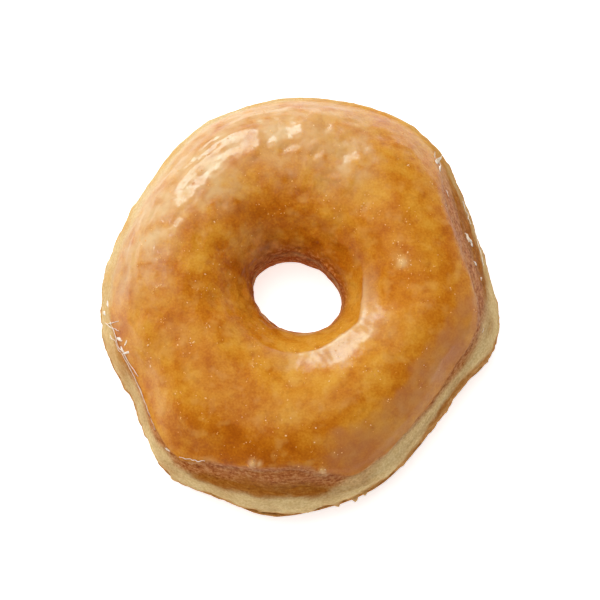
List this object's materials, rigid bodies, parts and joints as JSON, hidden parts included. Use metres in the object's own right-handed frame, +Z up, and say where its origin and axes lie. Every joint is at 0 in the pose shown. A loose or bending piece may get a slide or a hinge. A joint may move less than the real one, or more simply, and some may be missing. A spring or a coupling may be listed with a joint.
{
  "type": "ring doughnut",
  "caption": "Glazed yeast ring doughnut: a soft fried ring of dough with a hole through it, under a thin uneven coat of sugar glaze.",
  "frame": {"origin": "on the surface that the doughnut lies on, under the middle of its bounding box", "axes": "+Z up through the hole, out of the glazed top; +X and +Y lie in the flat underside, and -Y is the side with the widest glazed band"},
  "size_m": [0.0922, 0.0992, 0.0309],
  "materials": {
    "fried_dough": "soft brown fried crust, matt to satin, with a pale cream ring round the waist",
    "sugar_glaze": "glossy set sugar coat, clear over amber crust, with fine cracks, crystals and pale flakes"
  },
  "bodies": {
    "root": {"dough": "fried_dough", "glaze": "sugar_glaze"}
  },
  "joints": []
}
